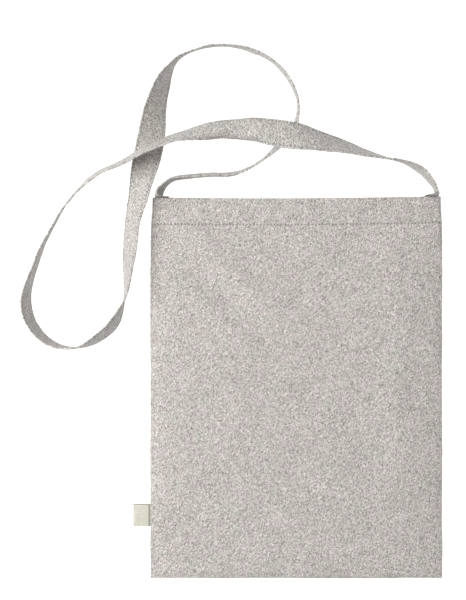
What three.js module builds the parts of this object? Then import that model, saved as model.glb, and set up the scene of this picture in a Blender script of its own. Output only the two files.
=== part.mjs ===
// A flat cotton shoulder bag lying on its back on a table. Two cloth panels are sewn together
// along both sides and the bottom. One long strap is sewn into the two top corners and lies in
// loops beside the mouth, and a small folded label is caught in the left seam.
// Sizes are millimetres. X runs across the bag, Y from the bottom seam to the mouth, Z up.

import * as THREE from 'three';

// Driving sizes of the bag
const CLOTH = 1.1;
const HEM_WALL = 2 * CLOTH;
const HEM_DEPTH = 28;
const HEM_STEP = 0.6;
const PIECE_GAP = 0.3;
const BOTTOM_SEAM = -197;
const MOUTH = 197;
const HALF_WIDTH = 150;
const BOTTOM_ROLL = 13;

// The mouth's edge rises to the right and sags in the middle
const MOUTH_TILT = 0.7;
const MOUTH_SAG = 1.4;

// Driving sizes of the strap and the label
const STRAP_WIDTH = 29;
const STRAP_THICKNESS = 1.8;
const STRAP_FOLD_GAP = 0.36;
const LABEL_LENGTH = 17.5;
const LABEL_ROOT = 2;
const LABEL_THICKNESS = 1.2;
const LABEL_LOW = -143;
const LABEL_HIGH = -120;
const LABEL_DROOP = 1.8;
const LABEL_ROOM = 0.8;
const SEAM_RAMP = 1.5;

// How finely the soft surfaces are divided
const FRONT_GRID = { columns: 20, rows: 22 };
const BACK_GRID = { columns: 8, rows: 10 };
const ROLL_ANGLES = [0, 18, 36, 54, 72, 90];
const EDGE_ANGLES = [45, 90, 135];
const STRAP_STEP = 9;
const LABEL_STEPS = 5;

// The bag from the bottom seam to the mouth. left and right are the side seams' distances from
// the middle, seam and crown the heights of the side seams and of the front panel, and roll is
// how far in from the seam the panels' rounded edges reach.
const SECTIONS = [
  { y: -197, left: 150.9, right: 151.2, seam: 3.4, crown: 8.8, roll: 12 },
  { y: -100, left: 151.2, right: 151.0, seam: 3.6, crown: 9.6, roll: 13 },
  { y: 60, left: 151.2, right: 150.8, seam: 3.8, crown: 9.8, roll: 12 },
  { y: 150, left: 150.8, right: 151, seam: 4.4, crown: 9.6, roll: 8 },
  { y: 197, left: 148.8, right: 149.4, seam: 4.6, crown: 9.3, roll: 5 },
];

// Soft folds in the front panel. heading is the direction the fold runs in, in degrees from X.
const FOLDS = [
  { x: -64, y: 112, heading: -48, length: 95, width: 24, height: 0.9 },
  { x: -84, y: 82, heading: -38, length: 90, width: 24, height: 0.8 },
  { x: 104, y: 75, heading: 90, length: 140, width: 24, height: 0.6 },
  { x: -68, y: 2, heading: -50, length: 64, width: 26, height: 0.6 },
  { x: 4, y: -150, heading: -62, length: 60, width: 22, height: 0.6 },
  { x: 134, y: 178, heading: 55, length: 40, width: 20, height: 0.5 },
];

// The strap's route, from the left top corner to the right one. lean tips the upper edge from
// upright, in degrees, to the left of the way along the strap, and past 90 the other edge is the
// upper one. fold is half the angle of the lengthwise fold, so 90 is folded in half, and negative
// where the strap folds the other way. lift is the lowest edge's height above the table.
const LEFT_CORNER = [
  { x: -145, y: 171, lean: 0, fold: 90, lift: 2.5 },
  { x: -145, y: 186, lean: 0, fold: 90, lift: 2.5 },
  { x: -145.1, y: 196.3, lean: 0, fold: 90, lift: 2.5 },
  { x: -145.4, y: 198.2, lean: 10, fold: 64, lift: 1.8 },
  { x: -145.3, y: 199.9, lean: 18, fold: 46, lift: 1.2 },
  { x: -144.9, y: 201.6, lean: 22, fold: 33, lift: 0.8 },
  { x: -144, y: 203.5, lean: 19, fold: 22, lift: 0.4 },
  { x: -142.1, y: 206.5, lean: 11, fold: 13, lift: 0.2 },
  { x: -138.8, y: 210, lean: 6, fold: 10, lift: 0.2 },
  { x: -132.6, y: 214, lean: 2, fold: 10, lift: 0.2 },
  { x: -125, y: 216.6, lean: 0, fold: 10, lift: 0.2 },
];
const LOWER_RUN = [
  { x: -115, y: 218.6, lean: -1, fold: 10, lift: 0.2 },
  { x: -90, y: 220, lean: -1, fold: 10, lift: 0.2 },
  { x: -65.5, y: 221.2, lean: -1, fold: 9, lift: 0.2 },
  { x: -47.6, y: 227.8, lean: -2, fold: 6, lift: 0.2 },
  { x: -32.8, y: 237.2, lean: -5, fold: 3, lift: 0.2 },
  { x: -19.8, y: 248.3, lean: -13, fold: 0, lift: 0.2 },
  { x: -10, y: 258.5, lean: -14, fold: 0, lift: 0.2 },
  { x: -3, y: 267.5, lean: -9, fold: 0, lift: 0.2 },
];
const TOP_LOOP = [
  { x: 0.3, y: 278, lean: -4, fold: 0, lift: 0.2 },
  { x: 1, y: 296, lean: -1, fold: 0, lift: 0.2 },
  { x: -5.5, y: 313.5, lean: 0, fold: 0, lift: 0.2 },
  { x: -18.3, y: 330, lean: 1, fold: 0, lift: 0.2 },
  { x: -36.3, y: 343, lean: 1, fold: 0, lift: 0.2 },
  { x: -58.3, y: 350.3, lean: 2, fold: 0, lift: 0.2 },
  { x: -83.5, y: 352.3, lean: 6, fold: 0, lift: 0.2 },
  { x: -105.5, y: 347.5, lean: 6, fold: 0, lift: 0.2 },
  { x: -121.5, y: 339.5, lean: 2, fold: 0, lift: 0.2 },
];
const FLAT_RUN = [
  { x: -130, y: 328.5, lean: -8, fold: 0, lift: 0.2 },
  { x: -137.3, y: 314, lean: -28, fold: 0, lift: 0.2 },
  { x: -144.7, y: 289.5, lean: -47, fold: 0, lift: 0.2 },
  { x: -150, y: 258.5, lean: -76, fold: 0, lift: 0.2 },
  { x: -159.6, y: 214, lean: -122, fold: 0, lift: 0.2 },
  { x: -168, y: 173, lean: -144, fold: 0, lift: 0.2 },
  { x: -172.5, y: 132, lean: -153, fold: 0, lift: 0.2 },
  { x: -176.5, y: 94, lean: -173, fold: 0, lift: 0.2 },
];
const LEFT_LOOP = [
  { x: -188, y: 66.5, lean: -195, fold: 0, lift: 0.2 },
  { x: -206, y: 50.5, lean: -194, fold: 0, lift: 0.2 },
  { x: -225, y: 42, lean: -183, fold: 0, lift: 0.2 },
  { x: -243, y: 42.6, lean: -175, fold: 0, lift: 0.2 },
  { x: -261.2, y: 52.7, lean: -169, fold: 0, lift: 0.2 },
  { x: -274.6, y: 70.2, lean: -166, fold: 0, lift: 0.2 },
  { x: -278.2, y: 90.5, lean: -168, fold: 0, lift: 0.2 },
  { x: -270.6, y: 121, lean: -176, fold: 0, lift: 0.2 },
  { x: -258, y: 152, lean: -180, fold: 0, lift: 0.2 },
  { x: -238.6, y: 186.4, lean: -185, fold: 0, lift: 0.2 },
];
const UPPER_RUN = [
  { x: -212, y: 215.2, lean: -190, fold: 0, lift: 0.6 },
  { x: -181.6, y: 230.9, lean: -193, fold: 0, lift: 3 },
  { x: -150.6, y: 246.6, lean: -198, fold: 0, lift: 6 },
  { x: -120, y: 258.2, lean: -202, fold: 0, lift: 8.5 },
  { x: -84, y: 263.5, lean: -220, fold: 0, lift: 12 },
  { x: -48, y: 263.8, lean: -237, fold: 0, lift: 20 },
  { x: -14, y: 259.6, lean: -263, fold: 0, lift: 31 },
  { x: 19, y: 253.8, lean: -231, fold: 0, lift: 21.5 },
  { x: 55, y: 245.4, lean: -206, fold: 0, lift: 8 },
  { x: 91, y: 236.6, lean: -189, fold: 0, lift: 2 },
  { x: 112, y: 231.8, lean: -181, fold: 0, lift: 0.2 },
];
const RIGHT_CORNER = [
  { x: 127, y: 225, lean: -173, fold: 0, lift: 0.2 },
  { x: 137.6, y: 214.4, lean: -176, fold: -2, lift: 0.2 },
  { x: 142.8, y: 207.6, lean: -179, fold: -6, lift: 0.2 },
  { x: 145, y: 203.2, lean: -180, fold: -13, lift: 0.4 },
  { x: 145.7, y: 200.8, lean: -180, fold: -28, lift: 0.8 },
  { x: 145.8, y: 199.2, lean: -180, fold: -54, lift: 1.6 },
  { x: 145.8, y: 197.6, lean: -180, fold: -90, lift: 2.5 },
  { x: 145.6, y: 186, lean: -180, fold: -90, lift: 2.5 },
  { x: 145.6, y: 171, lean: -180, fold: -90, lift: 2.5 },
];
const STRAP_ROUTE = [
  ...LEFT_CORNER, ...LOWER_RUN, ...TOP_LOOP, ...FLAT_RUN, ...LEFT_LOOP, ...UPPER_RUN, ...RIGHT_CORNER,
];

// Colours and finish of the cloth
const COTTON = { color: 0xbfbab2, roughness: 0.95, metalness: 0 };
const WOVEN_LABEL = { color: 0xe6e3d4, roughness: 0.85, metalness: 0 };

const radians = THREE.MathUtils.degToRad;
const mix = THREE.MathUtils.lerp;

// A closed solid from loops of points. loops[v][u] is point u of the line v, the lines follow
// each other around the solid, and each end is closed across from line v to its opposite line.
function solidFromLoops(name, loops, finish) {
  const lineCount = loops.length;
  const pointCount = loops[0].length;
  const positions = loops.flat().flatMap((point) => point.toArray());
  const at = (v, u) => (v % lineCount) * pointCount + u;
  const triangles = [];
  const addQuad = (a, b, c, d) => triangles.push([a, b, c], [a, c, d]);
  for (let v = 0; v < lineCount; v += 1) {
    for (let u = 0; u < pointCount - 1; u += 1) {
      addQuad(at(v, u), at(v, u + 1), at(v + 1, u + 1), at(v + 1, u));
    }
  }
  for (let v = 0; v < Math.floor((lineCount - 1) / 2); v += 1) {
    const opposite = lineCount - 1 - v;
    const last = pointCount - 1;
    if (v + 1 === opposite - 1) {
      triangles.push([at(v, 0), at(v + 1, 0), at(opposite, 0)]);
      triangles.push([at(v, last), at(opposite, last), at(v + 1, last)]);
    } else {
      addQuad(at(v, 0), at(v + 1, 0), at(opposite - 1, 0), at(opposite, 0));
      addQuad(at(v, last), at(opposite, last), at(opposite - 1, last), at(v + 1, last));
    }
  }
  const corner = (index) => new THREE.Vector3().fromArray(positions, 3 * index);
  let volume = 0;
  for (const [a, b, c] of triangles) {
    volume += corner(a).dot(corner(b).cross(corner(c))) / 6;
  }
  const index = volume > 0 ? triangles.flat() : triangles.flatMap(([a, b, c]) => [a, c, b]);
  const geometry = new THREE.BufferGeometry();
  geometry.setAttribute('position', new THREE.Float32BufferAttribute(positions, 3));
  geometry.setIndex(index);
  geometry.computeVertexNormals();
  const mesh = new THREE.Mesh(geometry, new THREE.MeshStandardMaterial(finish));
  mesh.name = name;
  return mesh;
}

// The bag's section at a height, eased from one row of the table to the next
function sectionAt(y) {
  const last = SECTIONS.length - 1;
  let upper = SECTIONS.findIndex((row) => row.y >= y);
  upper = upper < 0 ? last : Math.max(upper, 1);
  const from = SECTIONS[upper - 1];
  const to = SECTIONS[upper];
  const share = THREE.MathUtils.smoothstep(y, from.y, to.y);
  const section = {};
  for (const column of Object.keys(from)) {
    section[column] = mix(from[column], to[column], share);
  }
  return section;
}

// How far the soft folds raise the front panel
function foldHeight(x, y) {
  let height = 0;
  for (const fold of FOLDS) {
    const heading = radians(fold.heading);
    const along = (x - fold.x) * Math.cos(heading) + (y - fold.y) * Math.sin(heading);
    const across = (y - fold.y) * Math.cos(heading) - (x - fold.x) * Math.sin(heading);
    const away = (2 * along / fold.length) ** 2 + (2 * across / fold.width) ** 2;
    height += fold.height * Math.exp(-away);
  }
  return height;
}

// Half the opening of the seam: a hair's breadth, wider on the left where the label passes through
function seamHalfGap(x, y) {
  const besideLabel = x < 0 && y > LABEL_LOW - LABEL_ROOM && y < LABEL_HIGH + LABEL_ROOM;
  const labelRoom = besideLabel ? LABEL_THICKNESS + PIECE_GAP : 0;
  return (PIECE_GAP + labelRoom) / 2;
}

// Columns across a panel: the left rounded edge, the flat middle and the right rounded edge
function panelColumns(count) {
  const leftRoll = ROLL_ANGLES.map((angle) => ({ side: -1, angle }));
  const rightRoll = ROLL_ANGLES.map((angle) => ({ side: 1, angle })).reverse();
  const middle = [];
  for (let i = 1; i < count; i += 1) {
    middle.push({ side: 0, across: i / count });
  }
  return [...leftRoll, ...middle, ...rightRoll];
}

// Rows along a panel, from the bottom seam's rounded edge to the hem at the mouth
function panelRows(count) {
  const hemLine = MOUTH - HEM_DEPTH;
  const flatStart = BOTTOM_SEAM + BOTTOM_ROLL;
  const rows = ROLL_ANGLES.map((angle) => ({ angle, wall: CLOTH }));
  for (let i = 1; i < count; i += 1) {
    rows.push({ y: mix(flatStart, hemLine, i / count), wall: CLOTH });
  }
  for (const away of [LABEL_ROOM / 2, LABEL_ROOM + SEAM_RAMP]) {
    rows.push({ y: LABEL_LOW - away, wall: CLOTH });
    rows.push({ y: LABEL_HIGH + away, wall: CLOTH });
  }
  rows.push({ y: hemLine - HEM_STEP, wall: CLOTH });
  rows.push({ y: hemLine, wall: HEM_WALL });
  rows.push({ y: hemLine + HEM_DEPTH / 2, wall: HEM_WALL });
  rows.push({ y: MOUTH - HEM_WALL / 2, wall: HEM_WALL });
  const heightOf = (row) => row.y ?? BOTTOM_SEAM + BOTTOM_ROLL * (1 - Math.cos(radians(row.angle)));
  return rows.sort((first, second) => heightOf(first) - heightOf(second));
}

// A point of a panel, depth below its outer face. heightAt gives Z for the share of the rounding
// that is behind the point, 0 on the seam and 1 on the flat middle.
function panelPoint(column, row, depth, heightAt) {
  const bottomTurn = radians(row.angle ?? 90);
  const bottomReach = depth + (BOTTOM_ROLL - depth) * (1 - Math.cos(bottomTurn));
  const y = row.y ?? BOTTOM_SEAM + bottomReach;
  const section = sectionAt(y);
  const sideTurn = radians(column.angle ?? 90);
  const sideReach = depth + (section.roll - depth) * (1 - Math.cos(sideTurn));
  let x = mix(section.roll - section.left, section.right - section.roll, column.across ?? 0);
  if (column.side < 0) {
    x = sideReach - section.left;
  } else if (column.side > 0) {
    x = section.right - sideReach;
  }
  const rise = Math.sin(sideTurn) * Math.sin(bottomTurn);
  const upBag = (y - BOTTOM_SEAM) / (MOUTH - BOTTOM_SEAM);
  const offCentre = x / HALF_WIDTH;
  const mouthShift = MOUTH_TILT * offCentre - MOUTH_SAG * (1 - offCentre ** 2);
  return new THREE.Vector3(x, y + mouthShift * upBag, heightAt(section, x, y, depth, rise));
}

// A panel: up its outer face, around the folded edge at the mouth and down its inner face
function panel(name, grid, heightAt) {
  const columns = panelColumns(grid.columns);
  const rows = panelRows(grid.rows);
  const outerLines = rows.map((row) => ({ row, depth: 0 }));
  const innerLines = rows.map((row) => ({ row, depth: row.wall })).reverse();
  const edgeLines = EDGE_ANGLES.map((angle) => {
    const halfWall = HEM_WALL / 2;
    const y = MOUTH - halfWall + halfWall * Math.sin(radians(angle));
    return { row: { y }, depth: halfWall - halfWall * Math.cos(radians(angle)) };
  });
  const lines = [...outerLines, ...edgeLines, ...innerLines];
  const loops = lines.map(({ row, depth }) => (
    columns.map((column) => panelPoint(column, row, depth, heightAt))
  ));
  return solidFromLoops(name, loops, COTTON);
}

function frontHeight(section, x, y, depth, rise) {
  const seam = section.seam + seamHalfGap(x, y);
  return seam + (section.crown - seam - depth + foldHeight(x, y)) * rise;
}

function backHeight(section, x, y, depth, rise) {
  const seam = section.seam - seamHalfGap(x, y);
  return seam - (seam - depth) * rise;
}

// The strap's cross-section: the two faces of a strip that is bent along its middle line.
// Each point has a sideways share, to the left of the way along the strap, and an upward one.
function strapSection(foldDegrees) {
  const fold = radians(foldDegrees);
  const halfWidth = STRAP_WIDTH / 2;
  const bend = (STRAP_THICKNESS + STRAP_FOLD_GAP) * Math.PI / 4;
  const places = [-halfWidth, -bend, -bend / 2, 0, bend / 2, bend, halfWidth];
  const onMiddle = (place) => {
    const reach = Math.min(Math.abs(place), bend);
    const beyond = Math.abs(place) - reach;
    const turn = fold * reach / bend;
    const sidewaysBend = fold === 0 ? 0 : (1 - Math.cos(turn)) * bend / fold;
    const upwardBend = fold === 0 ? reach : Math.sin(turn) * bend / fold;
    return {
      sideways: -sidewaysBend - Math.sin(turn) * beyond,
      upward: Math.sign(place) * (upwardBend + Math.cos(turn) * beyond),
      turn: Math.sign(place) * turn,
    };
  };
  const face = (offset) => places.map((place) => {
    const middle = onMiddle(place);
    return {
      sideways: middle.sideways + offset * Math.cos(middle.turn),
      upward: middle.upward + offset * Math.sin(middle.turn),
    };
  });
  return [...face(STRAP_THICKNESS / 2), ...face(-STRAP_THICKNESS / 2).reverse()];
}

// One ring of strap points: the section leaned over, set down on its lift and turned to the route
function strapRing(place, heading, { lean, fold, lift }) {
  const tilt = radians(lean);
  const leaned = strapSection(fold).map(({ sideways, upward }) => ({
    sideways: sideways * Math.cos(tilt) + upward * Math.sin(tilt),
    upward: upward * Math.cos(tilt) - sideways * Math.sin(tilt),
  }));
  const lowest = Math.min(...leaned.map((point) => point.upward));
  const left = new THREE.Vector3(-heading.y, heading.x, 0).normalize();
  return leaned.map((point) => new THREE.Vector3(
    place.x + left.x * point.sideways,
    place.y + left.y * point.sideways,
    lift + point.upward - lowest,
  ));
}

function shoulderStrap() {
  const route = new THREE.CatmullRomCurve3(STRAP_ROUTE.map((row) => new THREE.Vector3(row.x, row.y, 0)));
  const attitude = new THREE.CatmullRomCurve3(
    STRAP_ROUTE.map((row) => new THREE.Vector3(row.lean, row.fold, row.lift)), false, 'catmullrom',
  );
  const segmentCount = STRAP_ROUTE.length - 1;
  const rings = [];
  for (let i = 0; i <= segmentCount; i += 1) {
    const length = i < segmentCount ? route.points[i].distanceTo(route.points[i + 1]) : 0;
    const steps = Math.max(Math.round(length / STRAP_STEP), 1);
    for (let step = 0; step < steps; step += 1) {
      const along = Math.min((i + step / steps) / segmentCount, 1);
      const pose = attitude.getPoint(along);
      rings.push(strapRing(route.getPoint(along), route.getTangent(along), {
        lean: pose.x,
        fold: pose.y,
        lift: pose.z,
      }));
    }
  }
  const loops = rings[0].map((_, v) => rings.map((ring) => ring[v]));
  return solidFromLoops('shoulder_strap', loops, COTTON);
}

// The label: a pressed fold of narrow tape, its fold outside and its cut ends in the seam
function sideLabel() {
  const section = sectionAt((LABEL_LOW + LABEL_HIGH) / 2);
  const seamX = -section.left;
  const half = LABEL_THICKNESS / 2;
  const foldX = seamX - LABEL_LENGTH + half;
  const droopAt = (x) => section.seam - LABEL_DROOP * (Math.min(x - seamX, 0) / LABEL_LENGTH) ** 2;
  const profile = [];
  for (let i = 0; i <= LABEL_STEPS; i += 1) {
    const x = mix(seamX + LABEL_ROOT, foldX, i / LABEL_STEPS);
    profile.push({ x, z: droopAt(x) + half });
  }
  for (const angle of EDGE_ANGLES) {
    const turn = radians(angle);
    profile.push({ x: foldX - half * Math.sin(turn), z: droopAt(foldX) + half * Math.cos(turn) });
  }
  for (let i = LABEL_STEPS; i >= 0; i -= 1) {
    const x = mix(seamX + LABEL_ROOT, foldX, i / LABEL_STEPS);
    profile.push({ x, z: droopAt(x) - half });
  }
  const loops = profile.map(({ x, z }) => [
    new THREE.Vector3(x, LABEL_LOW, z),
    new THREE.Vector3(x, LABEL_HIGH, z),
  ]);
  return solidFromLoops('side_label', loops, WOVEN_LABEL);
}

const bag = new THREE.Group();
bag.name = 'shopping_bag';
bag.add(panel('front_panel', FRONT_GRID, frontHeight));
bag.add(panel('back_panel', BACK_GRID, backHeight));
bag.add(shoulderStrap());
bag.add(sideLabel());

export default bag;
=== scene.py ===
# %% [markdown]
# # A cotton shoulder bag, lying on its back
#
# The bag is two cloth panels sewn together along the sides and the bottom, with a deep hem
# round the mouth. One long strap is sewn into the two top corners and lies in loops on the
# table, and a small folded label sits in the left seam. The finished pieces are in metres, in
# the same frame as the solids: X across the bag, Y from the bottom seam to the mouth, Z up.

import bpy
import numpy as np
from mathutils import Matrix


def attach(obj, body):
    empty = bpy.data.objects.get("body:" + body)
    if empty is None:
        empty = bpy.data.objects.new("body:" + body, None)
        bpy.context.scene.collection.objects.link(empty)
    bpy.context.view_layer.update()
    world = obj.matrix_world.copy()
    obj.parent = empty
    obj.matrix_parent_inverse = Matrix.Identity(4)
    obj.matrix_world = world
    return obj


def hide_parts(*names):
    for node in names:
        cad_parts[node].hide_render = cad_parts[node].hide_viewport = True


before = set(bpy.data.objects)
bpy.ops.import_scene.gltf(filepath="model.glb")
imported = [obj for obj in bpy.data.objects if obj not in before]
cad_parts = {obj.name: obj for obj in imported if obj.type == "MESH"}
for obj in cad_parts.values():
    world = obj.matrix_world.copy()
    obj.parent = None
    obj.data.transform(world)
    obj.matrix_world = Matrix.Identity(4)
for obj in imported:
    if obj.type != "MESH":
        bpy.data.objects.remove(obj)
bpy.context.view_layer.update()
MM = 0.001
print("solids:", sorted(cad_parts))

# %% [markdown]
# ## The camera
#
# The bag is seen from straight above. A camera that isn't turned already looks down Z with Y
# up in the picture, so it only has to be placed. It hangs high, because a far camera sees the
# standing strap almost edge on, and a long lens then makes the bag fill the picture.

# %% Camera
CAMERA_HEIGHT = 1.8
PICTURE_MIDDLE = (-0.0654, 0.0906)
PICTURE_HEIGHT = 0.618
BAG_TOP = 0.009

camera_data = bpy.data.cameras.new("camera")
camera_data.sensor_width = 36
camera_data.lens = camera_data.sensor_width * (CAMERA_HEIGHT - BAG_TOP) / PICTURE_HEIGHT
camera = bpy.data.objects.new("camera", camera_data)
camera.location = (*PICTURE_MIDDLE, CAMERA_HEIGHT)
bpy.context.collection.objects.link(camera)
bpy.context.scene.camera = camera
print("lens in millimetres:", round(camera_data.lens, 1))

# %% [markdown]
# ## Soft irregularity
#
# Pressed cloth is never quite flat: it lies in long shallow swells, and it puckers beside a
# seam. A noise texture could displace it, but a sum of a few slanting waves is as irregular to
# the eye, costs a few lines, and gives the same swells on every run because its start is fixed.

# %% Swells
WAVE_COUNT = 16


def swells(x, y, start, shortest, longest):
    """Irregular waves of about unit height, between the two wavelengths."""
    chance = np.random.default_rng(start)
    total = 0
    for _ in range(WAVE_COUNT):
        wavelength = chance.uniform(shortest, longest)
        heading, phase = chance.uniform(0, 2 * np.pi, 2)
        way = x * np.cos(heading) + y * np.sin(heading)
        total = total + np.sin(2 * np.pi * way / wavelength + phase)
    return total / np.sqrt(WAVE_COUNT / 2)


def smooth_step(value, start, end):
    share = np.clip((value - start) / (end - start), 0, 1)
    return share * share * (3 - 2 * share)


print("swell at the origin:", round(float(swells(0.0, 0.0, 1, 40, 90)), 3))

# %% [markdown]
# ## The bag's shape
#
# Each panel lies nearly flat and rounds over to its seams, like a very shallow tray. The sizes
# are those of the solids, in millimetres because a maker measures cloth that way: how wide the
# bag is at a few heights, how high its seams and its middle lie, and how far in from the seam
# the rounding reaches.

# %% Sizes of the panels
CLOTH = 1.1
HEM_WALL = 2 * CLOTH
HEM_DEPTH = 28
PIECE_GAP = 0.3
BOTTOM_SEAM = -197
MOUTH = 197
HALF_WIDTH = 150
BOTTOM_ROLL = 13
MOUTH_TILT = 0.7
MOUTH_SAG = 1.4

SECTION_COLUMNS = ("left", "right", "seam", "crown", "roll")
SECTIONS = {
    -197: (150.9, 151.2, 3.4, 8.8, 12),
    -100: (151.2, 151.0, 3.6, 9.6, 13),
    60: (151.2, 150.8, 3.8, 9.8, 12),
    150: (150.8, 151.0, 4.4, 9.6, 8),
    197: (148.8, 149.4, 4.6, 9.3, 5),
}


def section_at(y):
    """The bag's section at each height, eased from one row of the table to the next."""
    heights = np.array(list(SECTIONS))
    rows = np.array(list(SECTIONS.values()))
    upper = np.clip(np.searchsorted(heights, y), 1, len(heights) - 1)
    share = smooth_step(y, heights[upper - 1], heights[upper])[..., None]
    values = rows[upper - 1] * (1 - share) + rows[upper] * share
    return dict(zip(SECTION_COLUMNS, np.moveaxis(values, -1, 0)))


print("half width at the middle:", section_at(np.array([0.0]))["left"])

# %% [markdown]
# ## Folds and creases
#
# The front panel keeps a few soft diagonal folds from being packed, and small creases start at
# the seams, where the label and the corners pull on the cloth. Each is a long low mound, or a
# dent where its height is negative, so a short table holds them all. The main folds are up to
# 2.4 millimetres higher than the solid's, and the dents are only here.

# %% Folds and creases
FOLD_COLUMNS = ("x", "y", "heading", "length", "width", "height")
SOFT_FOLDS = (
    (-62, 118, -42, 115, 21, 3.3),
    (-71, 89, -39, 90, 22, -2.0),
    (-66, 59, -38, 84, 18, 2.8),
    (104, 40, 90, 260, 28, 2.0),
    (-68, 2, -50, 64, 20, 2.3),
    (-80, -160, 0, 170, 46, -1.4),
    (4, -150, -62, 60, 22, 0.8),
    (134, 178, 55, 40, 20, 0.5),
)
SEAM_CREASES = (
    (-140, -103, -24, 26, 7, 0.9),
    (-142, -111, -16, 26, 8, -0.9),
    (-141, -150, -38, 22, 7, 0.8),
    (-141, -172, -32, 26, 7, 0.9),
    (-143, -181, -40, 24, 8, -0.9),
    (-128, 150, -62, 30, 9, 0.6),
    (-136, 60, -75, 34, 8, 0.4),
    (142, 60, 80, 60, 9, 0.4),
    (140, -120, 70, 50, 9, 0.5),
)
CORNER_CREASES = (
    (142.5, 190, 48, 17, 3.4, 0.8),
    (142.5, 190, -48, 17, 3.4, 0.8),
    (142.5, 195.5, 4, 12, 3.0, -0.8),
    (-143, 191, 60, 16, 4.0, 0.5),
)


def fold_height(x, y, folds):
    """How far the folds of a table raise the cloth."""
    height = 0
    for row in folds:
        fold = dict(zip(FOLD_COLUMNS, row))
        heading = np.radians(fold["heading"])
        east, north = x - fold["x"], y - fold["y"]
        along = east * np.cos(heading) + north * np.sin(heading)
        across = north * np.cos(heading) - east * np.sin(heading)
        away = (2 * along / fold["length"]) ** 2 + (2 * across / fold["width"]) ** 2
        height = height + fold["height"] * np.exp(-away)
    return height


print("folds:", len(SOFT_FOLDS), "creases:", len(SEAM_CREASES) + len(CORNER_CREASES))

# %% [markdown]
# ## Relief of the front panel
#
# On top of the folds the cloth swells a little, puckers along its seams, and is drawn in by the
# row of stitches that holds the hem. The hem itself is two layers, so it stands a little proud
# of the rest. The puckers fade out a few millimetres from what pulls on them.

# %% Relief
STITCH_LINE = 27.4
STITCH_WIDTH = 1.1
HEM_PROUD = 0.25
HEM_EDGE = 0.8
HEM_DENT = 0.3
PUCKER_REACH = 5
PUCKER_SLANT = 0.3
GATHER_SLANT = 0.12
GATHER_FADE = (-6, 12)
SEAM_REACH = 7
EDGE_FALL = 4.4
LEFT_SLOPE = 40
RIGHT_SLOPE = 42
HEM_FALL = 0.25
FALL_START = HEM_DEPTH + 4
CALM_SHARE = 0.7
CALM_START = MOUTH - 45
CALM_END = MOUTH - 20

# height, shortest wave, longest wave
SEAM_PUCKERS = (0.09, 5, 13)
SEAM_WAVES = (0.15, 40, 90)
HEM_PUCKERS = (0.14, 6, 14)
HEM_GATHERS = (0.24, 11, 26)
CLOTH_SWELLS = (0.3, 45, 110)
CLOTH_RIPPLES = (0.1, 14, 32)


def ripple(x, y, start, waves):
    """Swells with the height and the wavelengths of a row above."""
    height, shortest, longest = waves
    return height * swells(x, y, start, shortest, longest)


def seam_pucker(x, y, section):
    """Short puckers that fade away from the side seams and the bottom seam."""
    from_side = np.minimum(x + section["left"], section["right"] - x)
    beside = ripple(y, 0 * y, 11, SEAM_PUCKERS) + ripple(y, 0 * y, 12, SEAM_WAVES)
    below = ripple(x, 0 * x, 13, SEAM_PUCKERS) + ripple(x, 0 * x, 14, SEAM_WAVES)
    side_share = np.exp(-np.maximum(from_side, 0) / SEAM_REACH)
    bottom_share = np.exp(-np.maximum(y - BOTTOM_SEAM, 0) / SEAM_REACH)
    return beside * side_share + below * bottom_share


def hem_relief(x, y):
    """The hem's second layer, and the dent, puckers and gathers that its stitches make."""
    from_line = MOUTH - STITCH_LINE - y
    step = HEM_PROUD * (1 - smooth_step(from_line, -HEM_EDGE, HEM_EDGE))
    dent = -HEM_DENT * np.exp(-((from_line / STITCH_WIDTH) ** 2))
    near_line = np.exp(-((from_line / PUCKER_REACH) ** 2))
    puckers = ripple(x, PUCKER_SLANT * y, 15, HEM_PUCKERS) * near_line
    on_hem = 1 - smooth_step(from_line, *GATHER_FADE)
    gathers = ripple(x, GATHER_SLANT * y, 18, HEM_GATHERS) * on_hem
    return step + dent + puckers + gathers


def edge_fall(x, y, section, hem_share):
    """The empty bag thins out towards its side seams, but less at the hem, which the strap fills."""
    left = np.clip(1 - (x + section["left"]) / LEFT_SLOPE, 0, 1) ** 2
    right = np.clip(1 - (section["right"] - x) / RIGHT_SLOPE, 0, 1) ** 2
    below_hem = smooth_step(MOUTH - y, FALL_START, FALL_START + HEM_DEPTH)
    return -EDGE_FALL * (left + right) * (hem_share + (1 - hem_share) * below_hem)


def swell_relief(x, y):
    """Long swells and short ripples, calmer towards the hem."""
    calm = 1 - CALM_SHARE * smooth_step(y, CALM_START, CALM_END)
    return calm * (ripple(x, y, 16, CLOTH_SWELLS) + ripple(x, y, 17, CLOTH_RIPPLES))


print("hem dent in millimetres:", round(float(hem_relief(0.0, MOUTH - STITCH_LINE)), 2))

# %% [markdown]
# ## A closed sheet
#
# A cloth panel and a strap are the same kind of thing to a mesh: lines of points that run up
# one face, round the edge and down the other. A plane with a Solidify modifier would do for
# flat cloth, but here the hem is thicker than the rest and the strap's edges are rounded, so
# the lines are laid directly. Each point also gets its place on the flat cloth, in metres, as
# a UV, so that the weave follows the cloth round every fold.

# %% Sheet builder
CLOTH_MAP = "cloth"
CLOTH_SMOOTH = 50


def add_mesh(name, points, faces):
    mesh = bpy.data.meshes.new(name)
    mesh.from_pydata(points, [], faces)
    piece = bpy.data.objects.new(name, mesh)
    bpy.context.collection.objects.link(piece)
    return piece


def outward(points, faces):
    """The faces, turned round if the closed shape they make is inside out."""
    a, b, c, d = (points[faces[:, corner]] for corner in range(4))
    volume = np.sum(a * np.cross(b, c)) + np.sum(a * np.cross(c, d))
    return faces if volume > 0 else faces[:, ::-1]


def smooth_shading(piece, degrees):
    """Shades the piece smooth, but for edges that turn by more than the angle."""
    bpy.ops.object.select_all(action="DESELECT")
    piece.select_set(True)
    bpy.context.view_layer.objects.active = piece
    bpy.ops.object.shade_smooth_by_angle(angle=np.radians(degrees))


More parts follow.
